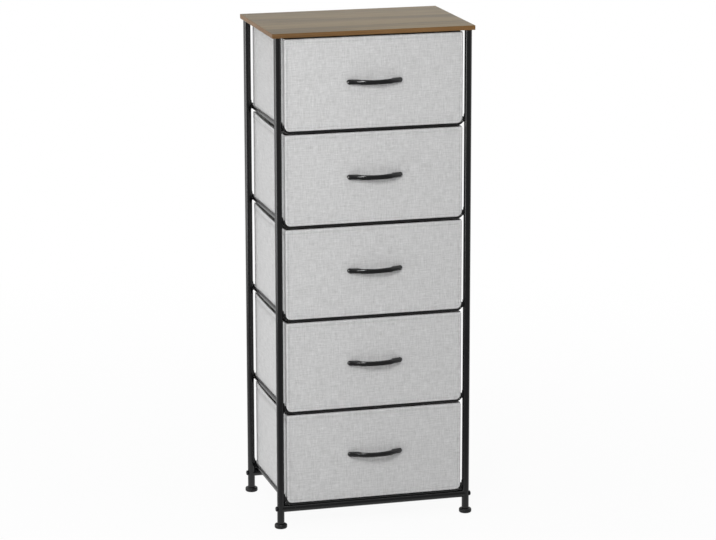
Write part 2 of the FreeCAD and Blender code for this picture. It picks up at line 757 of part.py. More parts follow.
def make_handle(tier):
    """A moulded bow pull: two feet and a bar of even thickness that arches between them."""
    body = new_body(f"drawer_{tier}_handle")
    plan = new_sketch(body, "plan", "XY")
    outline(plan, [
        ("-handle_x", "no_size"),
        ("-handle_x", "-handle_end_depth", "handle_outer_r", 1),
        ("handle_x", "-handle_end_depth"),
        ("handle_x", "no_size"),
        ("handle_pad_x", "no_size"),
        ("handle_pad_x", "-handle_inner_y", "handle_inner_r", -1),
        ("-handle_pad_x", "-handle_inner_y"),
        ("-handle_pad_x", "no_size"),
    ])
    feature(body, "Pad", "bow", plan, "Sizes.handle_height", both_ways=True)

    waist = new_sketch(body, "waist", "XZ")
    for sign in (1, -1):
        outline(waist, [
            ("-handle_pad_x", signed(sign, "handle_z"), "handle_waist_r", sign),
            ("handle_pad_x", signed(sign, "handle_z")),
            ("handle_pad_x", signed(sign, "handle_trim_z")),
            ("-handle_pad_x", signed(sign, "handle_trim_z")),
        ])
    feature(body, "Pocket", "waisted", waist, "2 * Sizes.handle_depth", both_ways=True)
    fillet(body, "tips", "handle_tip_round", lambda edge: (
        runs_along(edge, BACK) and near(abs(edge.CenterOfMass.x), amount("handle_x"))))
    chamfer(body, "outer_edges", "handle_edge_bevel", lambda edge: (
        is_outer(edge) and not near(edge.BoundBox.XLength, 0)))
    pierce(body, "no_size", "screw_thread_r", "no_size", "Layout.screw_bore", reverse=True)
    level = tier_line(tier) + " + Sizes.handle_rise"
    place(body, y="Layout.frame_mid - Layout.handle_seat", z=level)
    node(body, f"drawer_{tier}_handle")


def is_outer(edge):
    """True for an edge of the handle's outward face."""
    middle = edge.valueAt((edge.FirstParameter + edge.LastParameter) / 2)
    centre_y = amount("handle_outer_r") - amount("handle_depth")
    return near(math.hypot(middle.x, middle.y - centre_y), amount("handle_outer_r"))


def make_handle_screws(tier):
    """Two pan-head screws from inside the bin, through the front, into the handle's feet."""
    screws = []
    for end, side in SIDES.items():
        screw = headed_pin(f"screw_{tier}_{end}", "screw")
        screw.Placement = FreeCAD.Placement(V(), FreeCAD.Rotation(UP, BACK))
        level = tier_line(tier) + " + Sizes.handle_rise"
        place(screw, f"{side} * Layout.screw_x", "-Layout.front_back", level)
        screws.append(screw)
    group(f"drawer_{tier}_handle_screws", screws)


# ---------------------------------------------------------------- build, check and write
make_top_board()
for corner, (side, depth) in CORNERS.items():
    make_post(corner, side, depth)
    make_foot(corner, side, depth)
make_post_fasteners()
for face, depth in FACES.items():
    make_bottom_rail(face, depth)
make_rail_fasteners()
for tier in range(1, TIERS + 1):
    for end, side in SIDES.items():
        make_runner(tier, end, side)
    make_rods(tier)
    make_bin(tier)
    make_front_panel(tier)
    make_base_board(tier)
    make_handle(tier)
    make_handle_screws(tier)
doc.recompute()

failed = [item.Name for item in doc.Objects if {"Invalid", "Error"} & set(item.State)]
if failed:
    raise RuntimeError(f"objects that did not build: {failed}")
for piece in nodes:
    if piece.Shape.isNull() or not piece.Shape.isValid():
        raise RuntimeError(f"{piece.Label} has no valid shape")

os.makedirs("parts", exist_ok=True)
for piece in nodes:
    piece.Shape.exportStep(f"parts/{piece.Label}.step")
print(len(nodes), "sub-parts written")
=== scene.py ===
# %% [markdown]
# # A fabric drawer dresser, dressed in Blender
#
# The dresser stands on a black steel frame: four posts on screw feet, thin bent rods and runners
# between them, and a laminated board on top. Five sewn fabric bins slide in the frame, each with a
# bow handle. The frame file holds every rigid piece at its real size. This lesson gives those pieces
# their finishes and sews the soft ones.

# %% Load the frame
import math

import bmesh
import bpy
from mathutils import Matrix, Vector


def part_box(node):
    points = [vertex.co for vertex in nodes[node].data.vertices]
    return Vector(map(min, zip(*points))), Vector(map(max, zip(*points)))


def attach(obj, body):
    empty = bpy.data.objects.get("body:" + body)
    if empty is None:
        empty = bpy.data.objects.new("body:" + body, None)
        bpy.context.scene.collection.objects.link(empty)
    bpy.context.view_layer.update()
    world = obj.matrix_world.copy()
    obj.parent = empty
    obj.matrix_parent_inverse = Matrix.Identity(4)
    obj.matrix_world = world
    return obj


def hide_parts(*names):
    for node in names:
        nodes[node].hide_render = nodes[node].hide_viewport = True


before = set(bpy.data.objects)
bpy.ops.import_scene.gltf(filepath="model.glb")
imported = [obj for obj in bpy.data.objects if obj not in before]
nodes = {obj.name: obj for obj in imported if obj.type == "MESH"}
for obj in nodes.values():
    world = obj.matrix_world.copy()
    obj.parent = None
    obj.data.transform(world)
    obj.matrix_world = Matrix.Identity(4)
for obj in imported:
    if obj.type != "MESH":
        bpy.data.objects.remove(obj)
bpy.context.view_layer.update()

# %% [markdown]
# ## Units
#
# Blender works in metres here, and a furniture maker thinks in millimetres. One factor turns a size
# in millimetres into metres, so every number below can be read as a real size.

# %% Units, names and sides
MM = 0.001
DRAWERS = [1, 2, 3, 4, 5]
CORNERS = ["front_left", "front_right", "back_left", "back_right"]
SIDES = {"left": -1, "right": 1}


def middle(low, high):
    return (low + high) / 2


def box_middle(node):
    """The centre of a rigid piece's box."""
    low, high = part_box(node)
    return (Vector(low) + Vector(high)) / 2


# %% [markdown]
# ## Helpers for materials
#
# A colour is written as the hex value that a paint chart gives, and Blender wants it as light, so one
# function turns it to linear. Another adds a node, sets its properties and joins its inputs: an input
# that is given a socket is linked, and any other value is typed into it. Two more start a material
# and join its colour, its gloss and its bump to the shader.

# %% Material helpers
def linear(code):
    """An sRGB hex colour as linear RGBA."""
    channels = [int(code[i:i + 2], 16) / 255 for i in (1, 3, 5)]
    light = [c / 12.92 if c <= 0.04045 else ((c + 0.055) / 1.055) ** 2.4 for c in channels]
    return (*light, 1.0)


def add(tree, kind, inputs=None, **settings):
    """One node with its settings, its typed values and its links."""
    made = tree.nodes.new(kind)
    for name, value in settings.items():
        setattr(made, name, value)
    for name, value in (inputs or {}).items():
        if isinstance(value, bpy.types.NodeSocket):
            tree.links.new(value, made.inputs[name])
        else:
            made.inputs[name].default_value = value
    return made


def new_material(name, **values):
    """A material whose shader sockets hold the given uniform values."""
    material = bpy.data.materials.new(name)
    material.use_nodes = True
    shader = material.node_tree.nodes["Principled BSDF"]
    for socket, value in values.items():
        shader.inputs[socket.replace("_", " ")].default_value = value
    return material, material.node_tree, shader


def join_up(tree, shader, colour=None, roughness=None, height=None, depth=0.1 * MM):
    """Feeds the shader its colour and roughness, and its bump from a height in 0 to 1."""
    if colour is not None:
        tree.links.new(colour, shader.inputs["Base Color"])
    if roughness is not None:
        tree.links.new(roughness, shader.inputs["Roughness"])
    if height is not None:
        bump = add(tree, "ShaderNodeBump", {"Height": height, "Distance": depth, "Strength": 1.0})
        tree.links.new(bump.outputs["Normal"], shader.inputs["Normal"])


# %% [markdown]
# ## Powder coat
#
# Steel tube is sprayed with dry polyester powder and baked. The powder melts into a tough skin with a
# faint orange peel, satin rather than shiny. The real peel is about a millimetre across, so noise of
# that size drives a shallow bump, and a wider noise makes the gloss a little uneven.

# %% Powder coat on steel
def make_powder_coat():
    """Black coat whose peel drives the bump and whose patches drive the gloss."""
    peel_size, peel_depth = 1.1 * MM, 0.012 * MM
    patch_size = 60 * MM
    smoothest, roughest = 0.17, 0.24
    material, tree, shader = new_material(
        "powder_coated_steel", Base_Color=linear("#0b0b0c"), IOR=1.5, Specular_IOR_Level=0.45)
    place = add(tree, "ShaderNodeTexCoord").outputs["Object"]
    peel = add(tree, "ShaderNodeTexNoise", {"Vector": place, "Scale": 1 / peel_size, "Detail": 1.0})
    patch = add(tree, "ShaderNodeTexNoise", {"Vector": place, "Scale": 1 / patch_size})
    gloss = add(tree, "ShaderNodeMapRange", {
        "Value": patch.outputs["Fac"], "From Min": 0.35, "From Max": 0.65, "To Min": smoothest,
        "To Max": roughest})
    join_up(tree, shader, None, gloss.outputs["Result"], peel.outputs["Fac"], peel_depth)
    return material


powder_coat = make_powder_coat()
print("material:", powder_coat.name)

# %% [markdown]
# ## Moulded plastics
#
# The handles are glossy black ABS from a polished mould, so they take a crisp highlight. The feet are
# polyethylene from a spark-eroded mould, with a fine dull grain that keeps them from squeaking. The
# threaded plugs are nylon. One function serves all three, because only the colour, the gloss and the
# grain differ.

# %% ABS, polyethylene and nylon
def make_plastic(name, colour, roughness, specular, grain_size, grain_depth):
    """A plastic whose grain drives its bump and a small change of its gloss."""
    spread = 0.04
    material, tree, shader = new_material(name, Base_Color=linear(colour), IOR=1.5,
                                          Specular_IOR_Level=specular)
    place = add(tree, "ShaderNodeTexCoord").outputs["Object"]
    grain = add(tree, "ShaderNodeTexNoise", {"Vector": place, "Scale": 1 / grain_size, "Detail": 2.0})
    wear = add(tree, "ShaderNodeMapRange", {
        "Value": grain.outputs["Fac"], "To Min": roughness - spread, "To Max": roughness + spread})
    join_up(tree, shader, None, wear.outputs["Result"], grain.outputs["Fac"], grain_depth)
    return material


handle_abs = make_plastic("gloss_moulded_abs", "#0d0d0e", 0.12, 0.5, 9 * MM, 0.01 * MM)
foot_polyethylene = make_plastic("grained_polyethylene", "#0e0e0f", 0.42, 0.3, 0.9 * MM, 0.05 * MM)
plug_nylon = make_plastic("moulded_nylon", "#2b2b2c", 0.5, 0.5, 0.8 * MM, 0.03 * MM)
print("materials:", handle_abs.name, foot_polyethylene.name, plug_nylon.name)

# %% [markdown]
# ## Plated and blackened steel
#
# The small hardware is bright zinc plate, a pale bluish metal that dulls in patches, and black oxide
# on the bolts that pull the lower rails tight. Both are metals, so colour lives in the reflection and
# the noise goes into the roughness.

# %% Zinc plate and black oxide
def make_metal(name, colour, smooth, rough):
    """A bare metal that dulls from smooth to rough in patches."""
    patch_size, patch_depth = 2.5 * MM, 0.01 * MM
    material, tree, shader = new_material(name, Base_Color=linear(colour), Metallic=1.0)
    place = add(tree, "ShaderNodeTexCoord").outputs["Object"]
    patch = add(tree, "ShaderNodeTexNoise", {"Vector": place, "Scale": 1 / patch_size, "Detail": 3.0})
    dulled = add(tree, "ShaderNodeMapRange", {"Value": patch.outputs["Fac"], "To Min": smooth,
                                              "To Max": rough})
    join_up(tree, shader, None, dulled.outputs["Result"], patch.outputs["Fac"], patch_depth)
    return material


zinc_plate = make_metal("zinc_plated_steel", "#c6c9cc", 0.25, 0.45)
black_oxide = make_metal("black_oxide_steel", "#2c2c2e", 0.35, 0.55)
print("materials:", zinc_plate.name, black_oxide.name)

# %% [markdown]
# ## Hardboard
#
# The panels inside the fabric are hardboard: wood fibre pressed hot into a thin brown sheet. Its face
# is smooth and slightly shiny, with darker and lighter specks of fibre one or two millimetres across.

# %% Pressed hardboard
def make_hardboard():
    """Brown board whose fibre drives its tint and its bump."""
    fibre_size, fibre_depth = 1.6 * MM, 0.05 * MM
    material, tree, shader = new_material("pressed_hardboard", Roughness=0.55)
    place = add(tree, "ShaderNodeTexCoord").outputs["Object"]
    fibre = add(tree, "ShaderNodeTexNoise", {"Vector": place, "Scale": 1 / fibre_size, "Detail": 4.0})
    tint = add(tree, "ShaderNodeValToRGB", {"Fac": fibre.outputs["Fac"]})
    tint.color_ramp.elements[0].color = linear("#5d4530")
    tint.color_ramp.elements[1].color = linear("#97765a")
    join_up(tree, shader, tint.outputs["Color"], None, fibre.outputs["Fac"], fibre_depth)
    return material


hardboard = make_hardboard()
print("material:", hardboard.name)

# %% [markdown]
# ## Wood-grain laminate
#
# The top is particle board under printed melamine paper, walnut along its length, and its four edges
# are closed with strips of the same brown. Grain is noise stretched along one axis: bands a few
# millimetres wide for the growth rings, streaks about a millimetre wide for the pores, and a slow
# drift of tone between planks. The pattern reads a UV map in metres whose U runs along the grain, so
# each edge strip gets straight grain of its own. Melamine is fairly dull, yet at a low angle it
# mirrors the room, which greys the brown. The top's paper is also painted greyer and paler than the
# edge strips: a painted sheen of that reflection, laid over the walnut print.

# %% Walnut paper and edge strip
def make_laminate(name, dark, pale, band_width):
    """Printed grain between two browns; the pores are darker and duller."""
    band_length = 420 * MM
    pore_width, pore_length, pore_depth = 1.3 * MM, 45 * MM, 0.05 * MM
    plank_width, plank_length, plank_weight = 55 * MM, 600 * MM, 0.8
    dark_until, in_pore, between_pores = 0.74, 0.84, 1.03
    roughness, spread = 0.44, 0.06
    material, tree, shader = new_material(name, IOR=1.5, Specular_IOR_Level=0.21)
    place = add(tree, "ShaderNodeUVMap", uv_map="cut").outputs["UV"]
    grains = []
    for length, width, detail in ((band_length, band_width, 3.0), (pore_length, pore_width, 2.0),
                                  (plank_length, plank_width, 0.0)):
        run = add(tree, "ShaderNodeMapping", {
            "Vector": place, "Scale": (1 / length, 1 / width, 1.0)})
        grains.append(add(tree, "ShaderNodeTexNoise", {
            "Vector": run.outputs["Vector"], "Scale": 1.0, "Detail": detail,
            "Distortion": 0.4}).outputs["Fac"])
    bands, pores, planks = grains
    drift = add(tree, "ShaderNodeMath", {0: planks, 1: plank_weight, 2: bands},
                operation="MULTIPLY_ADD")
    ring_tint = add(tree, "ShaderNodeValToRGB", {"Fac": drift.outputs[0]})
    first, last = ring_tint.color_ramp.elements
    first.position = dark_until
    first.color = linear(dark)
    last.color = linear(pale)
    pore_tint = add(tree, "ShaderNodeMapRange", {
        "Value": pores, "From Min": 0.3, "From Max": 0.6, "To Min": in_pore, "To Max": between_pores})
    printed = add(tree, "ShaderNodeMix", {
        0: 1.0, 6: ring_tint.outputs["Color"], 7: pore_tint.outputs["Result"]},
        data_type="RGBA", blend_type="MULTIPLY")
    gloss = add(tree, "ShaderNodeMapRange", {"Value": pores, "To Min": roughness + spread,
                                             "To Max": roughness - spread})
    join_up(tree, shader, printed.outputs[2], gloss.outputs["Result"], pores, pore_depth)
    return material


# The top's browns are greyed past the edge strip's: painted sheen over the walnut print.
walnut_paper_and_painted_sheen = make_laminate("walnut_melamine_painted_sheen", "#625132", "#84704a", 6 * MM)
edge_strip = make_laminate("walnut_edge_strip", "#64492b", "#7b5b37", 2.6 * MM)
print("materials:", walnut_paper_and_painted_sheen.name, edge_strip.name)

# %% [markdown]
# ## Linen-look polyester
#
# The bins are sewn from coarse polyester canvas that imitates linen. Each yarn changes thickness and
# shade along its length, so the cloth is a fine grid of pale and greyish dashes. Two stretched noises
# draw the yarns, one each way, and two sines cross to lift them over and under one another. The yarns
# are about 0.7 mm apart. A second, coarser pair of noises stands for the slubs, bundles about 2.6 mm
# wide, because single yarns melt together when the whole dresser is in view. The four noises add up
# to 2 on average, and the two greys lie a given span below and above that.

# %% Woven canvas
def make_canvas(name, pale, grey, span):
    """Woven cloth between two greys; a smaller span gives stronger contrast."""
    yarn_pitch, yarn_dash, yarn_depth = 0.7 * MM, 9 * MM, 0.12 * MM
    slub_width, slub_length = 2.6 * MM, 26 * MM
    noise_mean, weave_weight = 2.0, 0.5
    material, tree, shader = new_material(
        name, Roughness=0.9, Sheen_Weight=0.08, Sheen_Roughness=0.6, Specular_IOR_Level=0.2)
    place = add(tree, "ShaderNodeUVMap", uv_map="cut").outputs["UV"]
    threads = []
    for across, along in ((yarn_pitch, yarn_dash), (slub_width, slub_length)):
        for scale in ((1 / along, 1 / across, 1.0), (1 / across, 1 / along, 1.0)):
            run = add(tree, "ShaderNodeMapping", {"Vector": place, "Scale": scale})
            threads.append(add(tree, "ShaderNodeTexNoise", {
                "Vector": run.outputs["Vector"], "Scale": 1.0, "Detail": 1.0}).outputs["Fac"])
    yarns = add(tree, "ShaderNodeMath", {0: threads[0], 1: threads[1]}, operation="ADD")
    slubs = add(tree, "ShaderNodeMath", {0: threads[2], 1: threads[3]}, operation="ADD")
    both = add(tree, "ShaderNodeMath", {0: yarns.outputs[0], 1: slubs.outputs[0]}, operation="ADD")
    shade = add(tree, "ShaderNodeMapRange", {
        "Value": both.outputs[0], "From Min": noise_mean - span, "From Max": noise_mean + span})
    tint = add(tree, "ShaderNodeMix", {0: shade.outputs["Result"], 6: linear(grey),
                                       7: linear(pale)}, data_type="RGBA")
    split = add(tree, "ShaderNodeSeparateXYZ", {"Vector": place})
    waves = []
    for axis in ("X", "Y"):
        turn = add(tree, "ShaderNodeMath", {0: split.outputs[axis], 1: math.pi / yarn_pitch},
                   operation="MULTIPLY")
        waves.append(add(tree, "ShaderNodeMath", {0: turn.outputs[0]}, operation="SINE").outputs[0])
    weave = add(tree, "ShaderNodeMath", {0: waves[0], 1: waves[1]}, operation="MULTIPLY")
    lift = add(tree, "ShaderNodeMath", {0: weave.outputs[0], 1: weave_weight, 2: both.outputs[0]},
               operation="MULTIPLY_ADD")
    join_up(tree, shader, tint.outputs[2], None, lift.outputs[0], yarn_depth)
    return material


canvas = make_canvas("linen_look_polyester", "#d6d6d6", "#b0b0b0", 0.62)
# The thread's two greys are painted darker than the cloth's: painted shade of the stitch holes.
thread = make_canvas("polyester_thread_painted_hole_shade", "#b0b0b0", "#9c9c9c", 0.9)
print("materials:", canvas.name, thread.name)

# %% [markdown]
# ## Helpers for pieces
#
# A piece is shaped as a bmesh and then becomes an object that stays at the origin, with its place in
# its mesh. Its UV map, called cut, is in metres, as if each side were cut from flat cloth or paper:
# every face takes the two axes that it lies along.

# %% Piece helpers
def cut_uv(shape):
    """A UV map in metres, laid on each face along the two axes it faces least."""
    layer = shape.loops.layers.uv.new("cut")
    axes = {0: (1, 2), 1: (0, 2), 2: (0, 1)}
    for face in shape.faces:
        facing = max(range(3), key=lambda i: abs(face.normal[i]))
        u, v = axes[facing]
        for loop in face.loops:
            loop[layer].uv = (loop.vert.co[u], loop.vert.co[v])


def to_object(shape, name, body, materials, slot, *stands_for, smooth_below=40):
    """Turns the bmesh into a piece that rides on a body and may stand for CAD nodes."""
    shape.normal_update()
    cut_uv(shape)
    for face in shape.faces:
        face.smooth = True
    for edge in shape.edges:
        if len(edge.link_faces) == 2:
            edge.smooth = edge.calc_face_angle(0) < math.radians(smooth_below)
    mesh = bpy.data.meshes.new(name)
    shape.to_mesh(mesh)
    shape.free()
    for material in materials:
        mesh.materials.append(material)
    piece = bpy.data.objects.new(name, mesh)
    bpy.context.scene.collection.objects.link(piece)
    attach(piece, body)
    if stands_for:
        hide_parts(*stands_for)
    return piece


def make_on_each_drawer(make):
    """One piece of a kind on every drawer."""
    for drawer in DRAWERS:
        piece = make(drawer)
        print("made", piece.name, len(piece.data.polygons), "faces")


# %% Shape helpers
def block(size, centre):
    """A box of a size, round a centre."""
    shape = bmesh.new()
    bmesh.ops.create_cube(shape, size=1.0)
    bmesh.ops.scale(shape, vec=size, verts=shape.verts)
    bmesh.ops.translate(shape, vec=centre, verts=shape.verts)
    return shape


def slice_at(shape, normal, places):
    """Cuts the whole shape by planes across one axis, so that it can bend there."""
    for place in places:
        bmesh.ops.bisect_plane(
            shape, geom=shape.verts[:] + shape.edges[:] + shape.faces[:], dist=1e-7,
            plane_co=Vector(normal) * place, plane_no=normal)


def evenly(low, high, step):
    """Places between two ends, about one step apart."""
    count = max(2, round((high - low) / step))
    return [low + (high - low) * i / count for i in range(1, count)]


def smooth_step(value, low, high):
    """0 up to low, 1 from high on, and an S curve between them."""
    t = min(1.0, max(0.0, (value - low) / (high - low)))
    return t * t * (3 - 2 * t)


def bevel_round(shape, edges, radius, segments):
    """Rounds some edges."""
    bmesh.ops.bevel(shape, geom=edges, offset=radius, offset_type="OFFSET", segments=segments,
                    profile=0.5, affect="EDGES", material=-1)


def runs_along(edge, axis):
    """True where both ends of an edge differ along one axis only."""
    difference = edge.verts[1].co - edge.verts[0].co
    return abs(difference[axis]) > MM and difference.length - abs(difference[axis]) < 1e-6


# %% [markdown]
# ## The top board
#
# A laminated board has sharp but not cutting edges: the strip is trimmed with a small radius. The CAD
# board has the holes for its threaded sleeves, so a copy of it is cleaned into whole faces. Faces that
# look sideways take the edge strip, and the others the walnut paper.

# %% Top board
def make_board():
    """The CAD board in whole faces, each with its own laminate."""
    sideways = 0.6
    shape = bmesh.new()
    shape.from_mesh(nodes["top_board"].data)
    bmesh.ops.remove_doubles(shape, verts=shape.verts, dist=1e-6)
    bmesh.ops.dissolve_limit(shape, angle_limit=math.radians(1), verts=shape.verts,
                             edges=shape.edges)
    shape.normal_update()
    for face in shape.faces:
        face.material_index = int(abs(face.normal.z) < sideways)
    return to_object(shape, "top_board_laminate", "frame", [walnut_paper_and_painted_sheen, edge_strip],
                     "wood_laminate", "top_board")


board = make_board()
print("made", board.name, len(board.data.polygons), "faces")

# %% [markdown]
# ## Screw feet
#
# Each foot is a turned puck with soft rims and a low collar that the post stands on. A foot is round,
# so half of its section is drawn as a few points and spun about the post's own axis.

# %% Screw feet
FOOT_THICKNESS = 10 * MM
FOOT_COLLAR = 1 * MM
FOOT_RIM = 3.2 * MM
FOOT_COLLAR_RADIUS = 8.75 * MM


def make_foot(corner):
    """One foot, spun about its post's axis."""
    low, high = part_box(f"foot_{corner}")
    centre = Vector((middle(low.x, high.x), middle(low.y, high.y), 0))
    radius = (high.x - low.x) / 2
    collar_top = FOOT_THICKNESS + FOOT_COLLAR
    section = [(0, 0), (radius, 0), (radius, FOOT_THICKNESS), (FOOT_COLLAR_RADIUS, FOOT_THICKNESS),
               (FOOT_COLLAR_RADIUS, collar_top), (0, collar_top)]
    shape = bmesh.new()
    points = [shape.verts.new(centre + Vector((r, 0, z))) for r, z in section]
    lines = [shape.edges.new(pair) for pair in zip(points, points[1:])]
    bmesh.ops.spin(shape, geom=points + lines, cent=centre, axis=(0, 0, 1), angle=math.tau,
                   steps=48, use_merge=True)
    bmesh.ops.remove_doubles(shape, verts=shape.verts, dist=1e-6)
    rims = [e for e in shape.edges if e.calc_face_angle(0) > math.radians(50)
            and (middle(e.verts[0].co, e.verts[1].co) - centre).xy.length > radius - MM]
    bevel_round(shape, rims, FOOT_RIM, segments=5)
    bmesh.ops.recalc_face_normals(shape, faces=shape.faces)
    return to_object(shape, f"screw_foot_{corner}", "frame", [foot_polyethylene], "foot_plastic",
                     f"foot_{corner}")


for corner in CORNERS:
    print("made", make_foot(corner).name)

# %% [markdown]
# ## Weld beads
#
# Runners and bent rods are welded to the posts before the frame is coated, so each joint has a small
# uneven bead under the powder, and the corner between the lowest rods, the posts and the rails is
# filled. A bead is a sphere that is flattened into its gap and rippled a little. All of them are one
# piece, because the coat joins them to the frame.

# %% Weld beads
RUNNER_BEAD = (1.5 * MM, 4.4 * MM, 4.2 * MM)
ROD_BEAD = (1.7 * MM, 2.5 * MM, 8 * MM)
CORNER_BEAD = (5.6 * MM, 3 * MM, 5.6 * MM)
CORNER_FROM_POST = 4.5 * MM
CORNER_ABOVE_RAIL = 4.3 * MM
RIPPLE = 0.10


def add_bead(shape, centre, outward, half_sizes):
    """A rippled bead; its first half size lies along outward, its last along Z."""
    turn = outward.to_track_quat("X", "Z").to_matrix().to_4x4()
    flatten = Matrix.Diagonal((*half_sizes, 1.0))
    made = bmesh.ops.create_uvsphere(shape, u_segments=14, v_segments=9, radius=1.0,
                                     matrix=Matrix.Translation(centre) @ turn @ flatten)["verts"]
    for vert in made:
        away = vert.co - centre
        ripple = RIPPLE * math.sin(away.z / (0.7 * MM) + away.y / (0.9 * MM))
        vert.co = centre + away * (1 + ripple)


def weld_corner(shape, drawer, corner):
    """The beads of one tier at one post: at the runner's end, at the rod's and in the corner."""
    face, side = corner.split("_")
    post = box_middle(f"post_{corner}")
    runner_low, runner_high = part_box(f"runner_{drawer}_{side}")
    contact_x = max(runner_low.x, runner_high.x, key=abs)
    runner_z = middle(runner_low.z, runner_high.z)
    add_bead(shape, Vector((contact_x, post.y, runner_z)), Vector((1, 0, 0)), RUNNER_BEAD)
    rod_low, rod_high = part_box(f"rod_1_{face}")
    rod_radius = (rod_high.y - rod_low.y) / 2
    rod_top = runner_z + rod_high.z - box_middle("runner_1_left").z
    rod = Vector((SIDES[side] * (rod_high.x - rod_radius), middle(rod_low.y, rod_high.y), rod_top))
    outward = Vector((post.x - rod.x, post.y - rod.y, 0)).normalized()
    add_bead(shape, rod + outward * rod_radius, outward, ROD_BEAD)
    if drawer == DRAWERS[-1]:
        rail_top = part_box(f"bottom_rail_{face}")[1].z
        inner_x = abs(post.x) - (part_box(f"post_{corner}")[1].x - post.x)
        spot = Vector((SIDES[side] * (inner_x - CORNER_FROM_POST), middle(rod.y, post.y),
                       rail_top + CORNER_ABOVE_RAIL))
        add_bead(shape, spot, Vector((SIDES[side], 0, 0)), CORNER_BEAD)


def make_welds():
    """Every bead of the frame, as one piece."""
    shape = bmesh.new()
    for drawer in DRAWERS:
        for corner in CORNERS:
            weld_corner(shape, drawer, corner)
    return to_object(shape, "weld_beads", "frame", [powder_coat], "powder_coat", smooth_below=80)


welds = make_welds()
print("made", welds.name, len(welds.data.polygons), "faces")

# %% [markdown]
# ## Stitching
#
# A lockstitch row is a line of short thread dashes that sink into the cloth. The thread is painted
# darker than the cloth, as painted shade of the holes that the stitches sink into.
# Each dash is a tiny sphere drawn out along the row, with a gap before the next one. It has only a few
# faces, because there are thousands. A row follows a list of points. The dash is made once, as a mesh,
# and set down at every place, because an operator call for each one would take a minute.

# %% Stitch rows
STITCH_PITCH = 3.4 * MM
STITCH_HALF_SIZES = (1.35 * MM, 0.48 * MM, 0.42 * MM)


def make_dash():
    """One thread dash along X, round the origin."""
    shape = bmesh.new()
    bmesh.ops.create_uvsphere(shape, u_segments=6, v_segments=4, radius=1.0,
                              matrix=Matrix.Diagonal((*STITCH_HALF_SIZES, 1.0)))
    mesh = bpy.data.meshes.new("thread_dash")
    shape.to_mesh(mesh)
    shape.free()
    return mesh


dash = make_dash()


def sew(shape, points):
    """Adds the dashes of one row to a shape, along a line of points."""
    travelled = 0.0
    for start, end in zip(points, points[1:]):
        length = (end - start).length
        turn = (end - start).to_track_quat("X", "Z").to_matrix().to_4x4()
        while travelled < length:
            move = Matrix.Translation(start.lerp(end, travelled / length)) @ turn
            dash.transform(move)
            shape.from_mesh(dash)
            dash.transform(move.inverted())
            travelled += STITCH_PITCH
        travelled -= length


# %% [markdown]
# ## Drawer fronts
#
# The front of a bin is a flat sleeve of canvas, pulled tight over a hardboard panel. Its lower corners
# are round to clear the bent rod, and its edges are soft folds. A row of stitches runs round it a few
# millimetres inside, and holds the hem, where the cloth is double and stands a little proud. A plain
# slab is bevelled to that outline, cut into columns and rows, and pressed in by a formula: the
# distance to the stitch line, which is a rectangle with two rounded corners.

# %% Cloth sizes
FOLD_RADIUS = 2.9 * MM
SEAM_INSET = 6.5 * MM
SEAM_WIDTH = 1.6 * MM
SEAM_DEPTH = 0.45 * MM
HEM_STEP = 0.30 * MM
HEM_DROP = 8.0 * MM
LOW_CORNER = 12 * MM
HIGH_CORNER = 3 * MM
HIGH_SEAM_CORNER = 0.5 * MM
SLEEVE_THICKNESS = 6 * MM
SLEEVE_BACK_EDGE = 0.25 * MM
BACK_RISE = 1.7 * MM
CLOTH_STEP = 9 * MM
SWELL = 0.45 * MM
FLAT_AT_HANDLE = (70 * MM, 110 * MM)
FLAT_AT_EDGE = (8 * MM, 30 * MM)


def slow_wave(drawer, a, b):
    """A smooth uneven swell between -1 and 1, different on each drawer."""
    phase = 1.7 * drawer
    upright = math.sin(a / (31 * MM) + phase) * math.cos(b / (23 * MM) + 2 * phase)
    slanted = math.sin(a / (17 * MM) - b / (39 * MM) + phase)
    return (upright + 0.6 * slanted) / 1.6


def seam_press(distance):
    """How far cloth is pulled in at a distance from a row of stitches, from 0 to 1."""
    return max(0.0, 1 - (distance / SEAM_WIDTH) ** 2)


# %% Front sleeve
def front_sizes(drawer):
    """The sleeve's half width, lowest and highest z, and the y of its face."""
    low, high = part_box(f"drawer_{drawer}_bin")
    return high.x, low.z, high.z - BACK_RISE, low.y


def seam_sizes(half, low_z, high_z):
    """The stitch line's half width and its lowest and highest z."""
    return half - SEAM_INSET, low_z + SEAM_INSET, high_z - HEM_DROP


def seam_distance(x, z, half, low_z, high_z):
    """Signed distance from the stitch line: negative inside it, positive in the hem."""
    seam_x, seam_low, seam_high = seam_sizes(half, low_z, high_z)
    is_low = z < middle(seam_low, seam_high)
    round_off = LOW_CORNER - SEAM_INSET if is_low else HIGH_SEAM_CORNER
    out_x = abs(x) - seam_x + round_off
    out_z = abs(z - middle(seam_low, seam_high)) - (seam_high - seam_low) / 2 + round_off
    outside = Vector((max(out_x, 0), max(out_z, 0))).length
    return outside + min(max(out_x, out_z), 0) - round_off


def face_depth(drawer, x, z, sizes):
    """How far the cloth lies behind the outermost plane of the front."""
    half, low_z, high_z, _ = sizes
    distance = seam_distance(x, z, half, low_z, high_z)
    from_edge = min(half - abs(x), z - low_z, high_z - z)
    swell = SWELL * (1 + slow_wave(drawer, x, z)) / 2 * smooth_step(abs(x), *FLAT_AT_HANDLE)
    inside = smooth_step(-distance, 0, 2 * SEAM_WIDTH)
    pressed = inside * (HEM_STEP + swell * smooth_step(from_edge, *FLAT_AT_EDGE))
    return pressed + SEAM_DEPTH * seam_press(distance)


